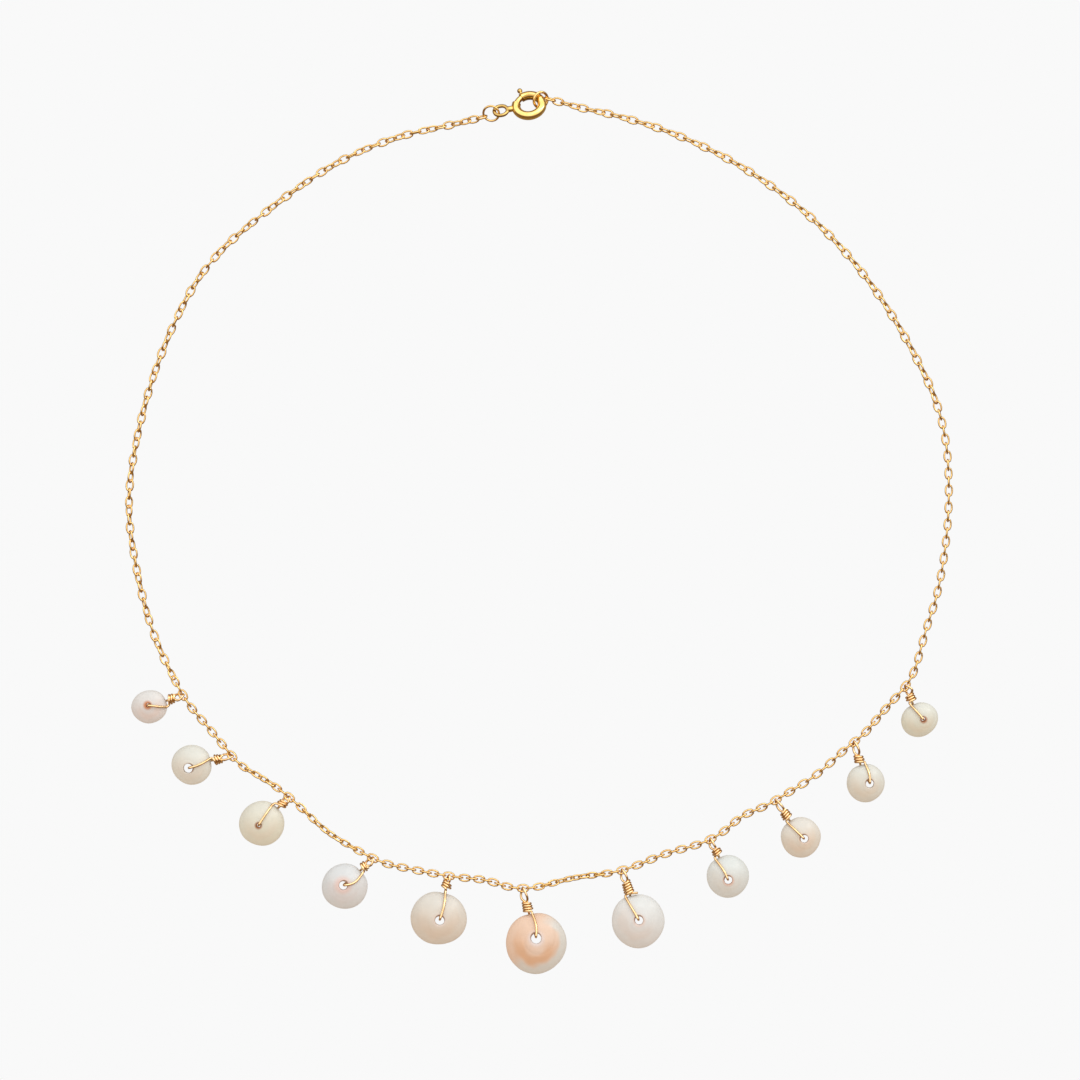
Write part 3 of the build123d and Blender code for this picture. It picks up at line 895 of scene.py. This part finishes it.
def make_shell(index, growth):
    """One shell, turned, subdivided, then worn out of round with its spiral groove."""
    drop = DROPS[index]
    look = SHELL_LOOKS[index]
    seed = look.band_way / 360
    section = shell_section(drop)
    bpy.ops.mesh.primitive_circle_add(vertices=len(section), radius=1.0, fill_type="NOTHING")
    piece = bpy.context.object
    piece.name = piece.data.name = f"worn_shell_{index + 1:02d}"
    for vertex, (out, up) in zip(piece.data.vertices, section):
        vertex.co = (out, 0, up)
    bpy.ops.object.mode_set(mode="EDIT")
    bpy.ops.mesh.select_all(action="SELECT")
    bpy.ops.mesh.spin(steps=TURNING_STEPS, angle=tau, center=(0, 0, 0), axis=(0, 0, 1))
    bpy.ops.mesh.select_all(action="SELECT")
    bpy.ops.mesh.remove_doubles(threshold=0.001)
    bpy.ops.mesh.normals_make_consistent(inside=False)
    bpy.ops.object.mode_set(mode="OBJECT")
    rounding = piece.modifiers.new("rounding", "SUBSURF")
    rounding.levels = rounding.render_levels = 2
    apply_modifiers(piece)
    mesh = piece.data
    for vertex in mesh.vertices:
        vertex.co = worn(drop, look, seed, *vertex.co)
    mesh.update()
    normals = [vertex.normal.copy() for vertex in mesh.vertices]
    for vertex, normal in zip(mesh.vertices, normals):
        x, y, z = vertex.co
        spot = Vector((x, y, z)) * DENT_SCALE + Vector((seed * DENT_SHIFT, 0, 0))
        dent = min(DENT_DEPTH * (noise.noise(spot) - DENT_LEVEL), 0.0)
        groove = max(normal.z, 0.0) * carve_spiral(drop, seed, x, y, look.groove)
        vertex.co += normal * (dent - groove)
    place = drop_place(index) @ shell_place(drop)
    mesh.transform(Matrix.Scale(MM, 4) @ place)
    mesh.shade_smooth()
    mesh.update()
    settle(piece, "necklace", shell_finish(index, growth), look.slot, f"shell_{index + 1:02d}")


# Wires
def tail_points(wrap, mouth):
    """The wire's cut end, which stands out to the side above the shell's rim."""
    if not wrap.tail:
        return []
    tip_rise, root_rise = TAIL_RISES
    return [
        Vector((mouth + TAIL_OUT, wrap.tail, NECK_HEIGHT + tip_rise)),
        Vector((mouth, TAIL_SIDE, NECK_HEIGHT + root_rise)),
    ]


def loop_points(wrap, base):
    """Out of the coil, round the link of the chain and back."""
    turn = radians(wrap.loop_turn)
    there = [(share * base, side, upright) for share, side, upright in LOOP_SIDES] + [LOOP_TIP]
    back = [(along, -side, upright) for along, side, upright in reversed(there)]
    points = []
    for along, side, upright in there + back:
        lean = wrap.loop_lean * sin(pi * min(along / base, 1.0)) if along > 0 else 0.0
        angle = turn + (radians(UPRIGHT) - turn) * upright
        spread = side * wrap.loop_width / 2
        points.append(Vector((along, lean + spread * cos(angle), NECK_HEIGHT + spread * sin(angle))))
    return points


def leg_points(drop, wrap):
    """Under the rim, up through the hole and back over the crown, in the shell's own frame."""
    edge = drop.width / 2
    inner_top = drop.height - CROWN_WALL
    crown = ball_radius(edge, drop.height - RIM_THICKNESS)
    hollow = ball_radius(edge - RIM_WIDTH, inner_top)
    off = WRAP_WIRE / 2 + SHELL_GAP
    hole = Vector((drop.out, drop.side, 0))
    finish = Vector((-sqrt(edge ** 2 - wrap.leg_end ** 2), wrap.leg_end, 0))
    inwards = (finish - hole).normalized()
    strand = hole + inwards * max(drop.hole / 2 - off, 0.0) * STRAND_SHARE
    away = hypot(strand.x, strand.y)
    below = ball_height(hollow, inner_top, away) - WRAP_WIRE - BEND_SWING
    above = ball_height(crown, drop.height, away) + off + BEND_SWING
    points = [
        Vector((RIM_THICKNESS / 2 - edge, 0, -off - UNDER_RIM)),
        Vector((RIM_WIDTH + off - edge, 0, -off - 2 * UNDER_RIM)),
        Vector((strand.x, strand.y, below)),
        Vector((strand.x, strand.y, above)),
    ]
    sideways = Vector((-inwards.y, inwards.x, 0)) * (-1 if inwards.x < 0 else 1)
    for step in range(1, LEG_STEPS + 1):
        share = step / LEG_STEPS
        spot = strand.lerp(finish, share) + sideways * wrap.leg_bow * sin(pi * share)
        spot.z = ball_height(crown, drop.height, min(hypot(spot.x, spot.y), edge)) + off + LEG_GAP
        points.append(spot)
    return points


def coil_points(wrap, mouth, base):
    """The end wound round the two strands, from the shell towards the chain."""
    side = 1 if wrap.leg_end >= 0 else -1
    start = acos(min(abs(wrap.leg_end) / COIL_WIDE * COIL_START, FARTHEST_START))
    count = round(wrap.turns * WRAP_CORNERS)
    points = []
    for step in range(count + 1):
        share = step / count
        angle = start + tau * step / WRAP_CORNERS
        radius = (COIL_WIDE + (COIL_NARROW - COIL_WIDE) * share) / cos(pi / WRAP_CORNERS)
        radius *= 1 + COIL_UNEVEN * sin(COIL_WAVES * angle + wrap.leg_end * COIL_SHIFT)
        along = mouth + (base - mouth) * share + wrap.slant * (cos(angle) - 1)
        points.append(Vector((along, side * radius * cos(angle), NECK_HEIGHT + radius * sin(angle))))
    return points


def wire_points(drop, wrap):
    """Control points of one wire in its drop's frame, from its cut end to the end of its coil."""
    place = shell_place(drop)
    mouth = (place @ Vector((-drop.width / 2, 0, RIM_THICKNESS / 2))).x - RIM_GAP
    base = mouth - wrap.turns * WRAP_PITCH
    inner = WRAP_WIRE / 2 + STRAND_GAP
    points = tail_points(wrap, mouth)
    points += [Vector((mouth, 0, NECK_HEIGHT + inner)), Vector((base, 0, NECK_HEIGHT + inner))]
    points += loop_points(wrap, base)
    points += [Vector((base, 0, NECK_HEIGHT - inner)), Vector((mouth, 0, NECK_HEIGHT - inner - UNDER_RIM))]
    points += [place @ point for point in leg_points(drop, wrap)]
    return points + coil_points(wrap, mouth, base)


def make_wire(index, gold):
    """One bent wire as a round bar along its control points."""
    place = drop_place(index)
    points = [place @ point * MM for point in wire_points(DROPS[index], WRAPS[index])]
    mesh = spline_mesh(points, WIRE_FINENESS, WRAP_WIRE / 2 * MM)
    mesh.name = f"bent_wire_{index + 1:02d}"
    add_piece(mesh, gold, "gold_wire", f"wire_{index + 1:02d}")


# Floor, light and camera
def make_floor():
    bpy.ops.mesh.primitive_plane_add(size=3.0)
    floor = bpy.context.object
    floor.name = "floor"
    material, tree, surface = new_finish("paper")
    surface.inputs["Base Color"].default_value = PAPER_COLOUR
    surface.inputs["Roughness"].default_value = 0.9
    surface.inputs["Specular IOR Level"].default_value = 0.1
    glow = add(tree.nodes, "ShaderNodeEmission")
    glow.inputs["Color"].default_value = tint(*PAPER_SEEN)
    shade = add(tree.nodes, "ShaderNodeEmission")
    shade.inputs["Color"].default_value = PAPER_MIRRORED
    seen = add(tree.nodes, "ShaderNodeLightPath")
    mirrored = add(tree.nodes, "ShaderNodeMixShader")
    tree.links.new(seen.outputs["Is Glossy Ray"], mirrored.inputs[0])
    tree.links.new(surface.outputs[0], mirrored.inputs[1])
    tree.links.new(shade.outputs[0], mirrored.inputs[2])
    either = add(tree.nodes, "ShaderNodeMixShader")
    tree.links.new(seen.outputs["Is Camera Ray"], either.inputs[0])
    tree.links.new(mirrored.outputs[0], either.inputs[1])
    tree.links.new(glow.outputs[0], either.inputs[2])
    tree.links.new(either.outputs[0], tree.nodes["Material Output"].inputs["Surface"])
    floor.data.materials.append(material)


def make_light(name, place, size, power, colour):
    """Soft light that faces the necklace."""
    light = bpy.data.lights.new(name, "AREA")
    light.shape = "RECTANGLE"
    light.size, light.size_y = size
    light.energy = power
    light.color = colour
    holder = bpy.data.objects.new(name, light)
    holder.location = place
    holder.rotation_euler = (-Vector(place)).to_track_quat("-Z", "Y").to_euler()
    bpy.context.collection.objects.link(holder)


def make_world():
    """Pale room, bright overhead and beyond the clasp and warmer on the shells' side. What gold mirrors
    has more contrast."""
    world = bpy.data.worlds.new("studio")
    world.use_nodes = True
    tree = world.node_tree
    room = tree.nodes["Background"]
    towards = add(tree.nodes, "ShaderNodeTexCoord")
    split = add(tree.nodes, "ShaderNodeSeparateXYZ")
    tree.links.new(towards.outputs["Generated"], split.inputs[0])
    slant = number(tree, "ADD", split.outputs[1], number(tree, "MULTIPLY", split.outputs[2], OVERHEAD_SHARE))
    bright = smooth(tree, slant, *ROOM_SPAN)
    seen = add(tree.nodes, "ShaderNodeLightPath")
    soft = blend_colour(tree, bright, ROOM_DARK, ROOM_BRIGHT)
    keen = smooth(tree, slant, *MIRRORED_SPAN)
    sharp = blend_colour(tree, keen, MIRRORED_DARK, MIRRORED_BRIGHT)
    tree.links.new(blend_colour(tree, seen.outputs["Is Glossy Ray"], soft, sharp), room.inputs["Color"])
    plain = add(tree.nodes, "ShaderNodeBackground")
    plain.inputs["Color"].default_value = tint(*PAPER_SEEN)
    either = add(tree.nodes, "ShaderNodeMixShader")
    tree.links.new(seen.outputs["Is Camera Ray"], either.inputs[0])
    tree.links.new(room.outputs[0], either.inputs[1])
    tree.links.new(plain.outputs[0], either.inputs[2])
    tree.links.new(either.outputs[0], tree.nodes["World Output"].inputs["Surface"])
    bpy.context.scene.world = world


def make_camera():
    camera = bpy.data.cameras.new("camera")
    camera.lens = CAMERA_LENS
    camera.sensor_width = 36.0
    camera.clip_start = 0.05
    camera.clip_end = 10.0
    holder = bpy.data.objects.new("camera", camera)
    holder.location = CAMERA_PLACE
    bpy.context.collection.objects.link(holder)
    bpy.context.scene.camera = holder


# Studio
make_camera()
make_floor()
make_light("window", place=(0.35, 1.0, 0.95), size=(1.0, 0.6), power=2.6, colour=(0.88, 0.95, 1.0))
make_light("strip", place=(0.75, 0.60, 0.40), size=(0.10, 0.40), power=0.8, colour=(1.0, 1.0, 1.0))
make_world()
bpy.context.scene.view_settings.view_transform = "Standard"

# Necklace
growth = make_growth()
wear = make_wear()
chain_gold = gold_finish("chain_gold", wear, CHAIN_GOLD)
wire_gold = gold_finish("wire_gold", wear, WIRE_GOLD)
clasp_gold = gold_finish("clasp_gold", wear, CLASP_GOLD)
# Painted shade on the clasp's ear and a painted dark reflection on its inner side
paint_clasp_shade(clasp_gold)
make_chain(chain_gold)
for index in range(len(DROPS)):
    make_shell(index, growth)
    make_wire(index, wire_gold)

# Plain nodes, of which the clasp and its two rings are seen
for name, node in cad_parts.items():
    gold = clasp_gold if name.startswith("clasp") else wire_gold if name.startswith("wire") else chain_gold
    if not name.startswith("shell"):
        node.data.materials.clear()
        node.data.materials.append(gold)
